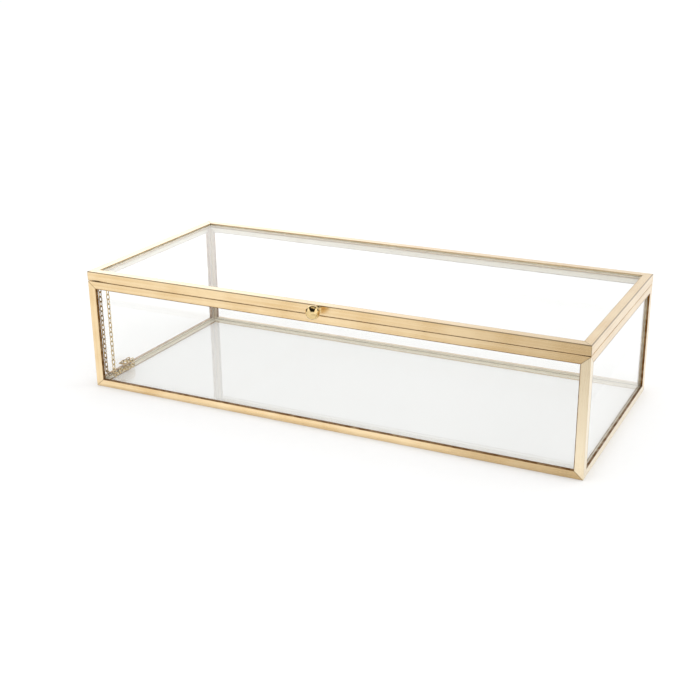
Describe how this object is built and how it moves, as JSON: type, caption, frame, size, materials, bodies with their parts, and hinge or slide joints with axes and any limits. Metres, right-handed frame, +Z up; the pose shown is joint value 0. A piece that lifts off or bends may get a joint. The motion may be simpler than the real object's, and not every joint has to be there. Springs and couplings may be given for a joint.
{
  "type": "glass casket box",
  "caption": "Rectangular keepsake box of clear glass in a thin brass frame, with a hinged glass lid, a ball knob and a fine lid chain.",
  "frame": {"origin": "under the middle of the closed box, knob and hinges included, on the surface that it stands on", "axes": "+X to the right along the long side, +Y to the back where the hinges are, +Z up"},
  "size_m": [0.23, 0.1096, 0.0562],
  "materials": {
    "clear_glass": "clear, polished, with pale cut edges",
    "polished_brass": "polished, pale gold, slightly worn",
    "chain_brass": "fine polished wire"
  },
  "bodies": {
    "case": {"floor_glass": "clear_glass", "front_glass": "clear_glass", "rear_glass": "clear_glass", "left_glass": "clear_glass", "right_glass": "clear_glass", "front_bottom_rail": "polished_brass", "rear_bottom_rail": "polished_brass", "left_bottom_rail": "polished_brass", "right_bottom_rail": "polished_brass", "front_left_post": "polished_brass", "front_right_post": "polished_brass", "rear_left_post": "polished_brass", "rear_right_post": "polished_brass", "front_top_rail": "polished_brass", "rear_top_rail": "polished_brass", "left_top_rail": "polished_brass", "right_top_rail": "polished_brass", "left_hinge_case_leaf": "polished_brass", "right_hinge_case_leaf": "polished_brass", "left_hinge_pin": "polished_brass", "right_hinge_pin": "polished_brass", "case_chain_eye": "polished_brass"},
    "lid": {"lid_glass": "clear_glass", "lid_front_rail": "polished_brass", "lid_rear_rail": "polished_brass", "lid_left_rail": "polished_brass", "lid_right_rail": "polished_brass", "left_hinge_lid_leaf": "polished_brass", "right_hinge_lid_leaf": "polished_brass", "knob_stem": "polished_brass", "knob_ball": "polished_brass", "lid_chain_eye": "polished_brass"},
    "lid_chain_run_1": {"lid_chain_run_1": "chain_brass"},
    "lid_chain_run_2": {"lid_chain_run_2": "chain_brass"},
    "lid_chain_run_3": {"lid_chain_run_3": "chain_brass"},
    "lid_chain_run_4": {"lid_chain_run_4": "chain_brass"},
    "lid_chain_run_5": {"lid_chain_run_5": "chain_brass"},
    "lid_chain_run_6": {"lid_chain_run_6": "chain_brass"},
    "lid_chain_run_7": {"lid_chain_run_7": "chain_brass"},
    "case_chain_run_1": {"case_chain_run_1": "chain_brass"},
    "case_chain_run_2": {"case_chain_run_2": "chain_brass"},
    "case_chain_run_3": {"case_chain_run_3": "chain_brass"},
    "case_chain_run_4": {"case_chain_run_4": "chain_brass"},
    "case_chain_run_5": {"case_chain_run_5": "chain_brass"},
    "case_chain_run_6": {"case_chain_run_6": "chain_brass"},
    "case_chain_run_7": {"case_chain_run_7": "chain_brass"},
    "case_chain_run_8": {"case_chain_run_8": "chain_brass"},
    "chain_middle_link": {"chain_middle_link": "chain_brass"}
  },
  "joints": [
    {"name": "lid_hinge", "type": "hinge", "parent": "case", "child": "lid", "pos_m": [0, 0.0537, 0.0507], "axis": [-1, 0, 0], "range_deg": [0, 94.56]},
    {"name": "lid_chain_run_1_joint", "type": "hinge", "parent": "lid", "child": "lid_chain_run_1", "pos_m": [-0.10935, -0.04101, 0.04938], "axis": [0.9998, 0.0211, 0], "range_deg": [0, 47.56]},
    {"name": "lid_chain_run_2_joint", "type": "hinge", "parent": "lid_chain_run_1", "child": "lid_chain_run_2", "pos_m": [-0.10935, -0.04101, 0.00418], "axis": [1, 0, 0], "range_deg": [-57.01, 0]},
    {"name": "lid_chain_run_3_joint", "type": "hinge", "parent": "lid_chain_run_2", "child": "lid_chain_run_3", "pos_m": [-0.10935, -0.03983, 0.00341], "axis": [1, 0, 0], "range_deg": [-43.01, 0]},
    {"name": "lid_chain_run_4_joint", "type": "hinge", "parent": "lid_chain_run_3", "child": "lid_chain_run_4", "pos_m": [-0.10935, -0.03538, 0.0042], "axis": [1, 0, 0], "range_deg": [0, 14.01]},
    {"name": "lid_chain_run_5_joint", "type": "hinge", "parent": "lid_chain_run_4", "child": "lid_chain_run_5", "pos_m": [-0.10935, -0.02636, 0.00357], "axis": [1, 0, 0], "range_deg": [-101.01, 0]},
    {"name": "lid_chain_run_6_joint", "type": "hinge", "parent": "lid_chain_run_5", "child": "lid_chain_run_6", "pos_m": [-0.10935, -0.02675, 0.00666], "axis": [1, 0, 0], "range_deg": [-82.01, 0]},
    {"name": "lid_chain_run_7_joint", "type": "hinge", "parent": "lid_chain_run_6", "child": "lid_chain_run_7", "pos_m": [-0.10935, -0.0304, 0.00673], "axis": [0, -0.0175, -0.9998], "range_deg": [-8.01, 0]},
    {"name": "case_chain_run_1_joint", "type": "hinge", "parent": "case", "child": "case_chain_run_1", "pos_m": [-0.11155, -0.0436, 0.04874], "axis": [0.9998, -0.0212, 0], "range_deg": [0, 132.99]},
    {"name": "case_chain_run_2_joint", "type": "hinge", "parent": "case_chain_run_1", "child": "case_chain_run_2", "pos_m": [-0.11155, -0.0436, 0.00666], "axis": [1, 0, 0], "range_deg": [-38.01, 0]},
    {"name": "case_chain_run_3_joint", "type": "hinge", "parent": "case_chain_run_2", "child": "case_chain_run_3", "pos_m": [-0.11155, -0.04168, 0.0042], "axis": [1, 0, 0], "range_deg": [-43.01, 0]},
    {"name": "case_chain_run_4_joint", "type": "hinge", "parent": "case_chain_run_3", "child": "case_chain_run_4", "pos_m": [-0.11155, -0.0403, 0.00398], "axis": [1, 0, 0], "range_deg": [-6.01, 0]},
    {"name": "case_chain_run_5_joint", "type": "hinge", "parent": "case_chain_run_4", "child": "case_chain_run_5", "pos_m": [-0.11155, -0.03578, 0.00375], "axis": [1, 0, 0], "range_deg": [-1.01, 0]},
    {"name": "case_chain_run_6_joint", "type": "hinge", "parent": "case_chain_run_5", "child": "case_chain_run_6", "pos_m": [-0.11155, -0.02675, 0.00343], "axis": [1, 0, 0], "range_deg": [-92.01, 0]},
    {"name": "case_chain_run_7_joint", "type": "hinge", "parent": "case_chain_run_6", "child": "case_chain_run_7", "pos_m": [-0.11155, -0.02675, 0.00655], "axis": [1, 0, 0], "range_deg": [-88.01, 0]},
    {"name": "case_chain_run_8_joint", "type": "hinge", "parent": "case_chain_run_7", "child": "case_chain_run_8", "pos_m": [-0.11155, -0.03041, 0.00668], "axis": [0, -0.0349, -0.9994], "range_deg": [0, 8.01]},
    {"name": "chain_middle_link_joint", "type": "hinge", "parent": "lid_chain_run_7", "child": "chain_middle_link", "pos_m": [-0.10978, -0.03349, 0.00678], "axis": [0, -0.0175, -0.9998], "range_deg": [-82.01, 0]}
  ],
  "couplings": [
    {"joint": "lid_chain_run_1_joint", "follows": "lid_hinge", "ratio": 0.50287},
    {"joint": "lid_chain_run_2_joint", "follows": "lid_hinge", "ratio": -0.60279},
    {"joint": "lid_chain_run_3_joint", "follows": "lid_hinge", "ratio": -0.45474},
    {"joint": "lid_chain_run_4_joint", "follows": "lid_hinge", "ratio": 0.14805},
    {"joint": "lid_chain_run_5_joint", "follows": "lid_hinge", "ratio": -1.0681},
    {"joint": "lid_chain_run_6_joint", "follows": "lid_hinge", "ratio": -0.86717},
    {"joint": "lid_chain_run_7_joint", "follows": "lid_hinge", "ratio": -0.084602},
    {"joint": "case_chain_run_1_joint", "follows": "lid_hinge", "ratio": 1.4063},
    {"joint": "case_chain_run_2_joint", "follows": "lid_hinge", "ratio": -0.40186},
    {"joint": "case_chain_run_3_joint", "follows": "lid_hinge", "ratio": -0.45474},
    {"joint": "case_chain_run_4_joint", "follows": "lid_hinge", "ratio": -0.063452},
    {"joint": "case_chain_run_5_joint", "follows": "lid_hinge", "ratio": -0.010575},
    {"joint": "case_chain_run_6_joint", "follows": "lid_hinge", "ratio": -0.97293},
    {"joint": "case_chain_run_7_joint", "follows": "lid_hinge", "ratio": -0.93063},
    {"joint": "case_chain_run_8_joint", "follows": "lid_hinge", "ratio": 0.084602},
    {"joint": "chain_middle_link_joint", "follows": "lid_hinge", "ratio": -0.86717}
  ]
}
